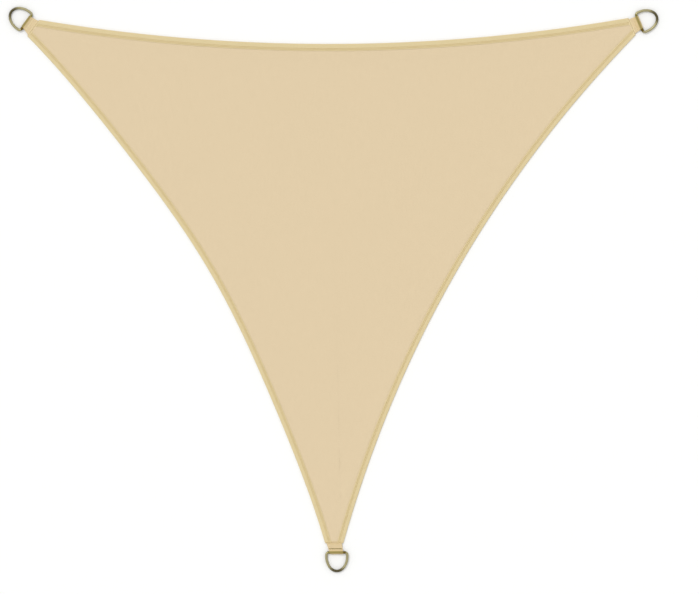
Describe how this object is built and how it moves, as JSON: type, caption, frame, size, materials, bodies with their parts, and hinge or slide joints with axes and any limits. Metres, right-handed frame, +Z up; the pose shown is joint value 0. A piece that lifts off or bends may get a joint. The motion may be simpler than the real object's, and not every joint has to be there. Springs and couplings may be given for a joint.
{
  "type": "triangular shade sail",
  "caption": "Triangular cloth shade sail with drawn-in sides, webbing-bound edges and a metal D-ring strapped to each corner, laid out flat.",
  "frame": {"origin": "on the ground under the middle of the sail's outer box, rings included", "axes": "+X along the back edge towards the right corner, +Y from the front corner towards the back edge, +Z up off the ground"},
  "size_m": [2.065, 1.7966, 0.011],
  "materials": {
    "cloth": "knitted polyethylene shade cloth, sand beige, matt with a slight sheen",
    "edge_webbing": "woven polyester webbing, golden sand, sewn down with two rows of thread",
    "corner_strap": "folded woven strap, sand beige, sewn across both ends",
    "ring_metal": "antique brass plated steel rod, satin with darker tarnish"
  },
  "bodies": {
    "root": {"panel": "cloth", "edge_tape_back": "edge_webbing", "edge_tape_right": "edge_webbing", "edge_tape_left": "edge_webbing", "corner_tab_left": "corner_strap", "corner_tab_right": "corner_strap", "corner_tab_front": "corner_strap", "d_ring_left": "ring_metal", "d_ring_right": "ring_metal", "d_ring_front": "ring_metal"}
  },
  "joints": []
}
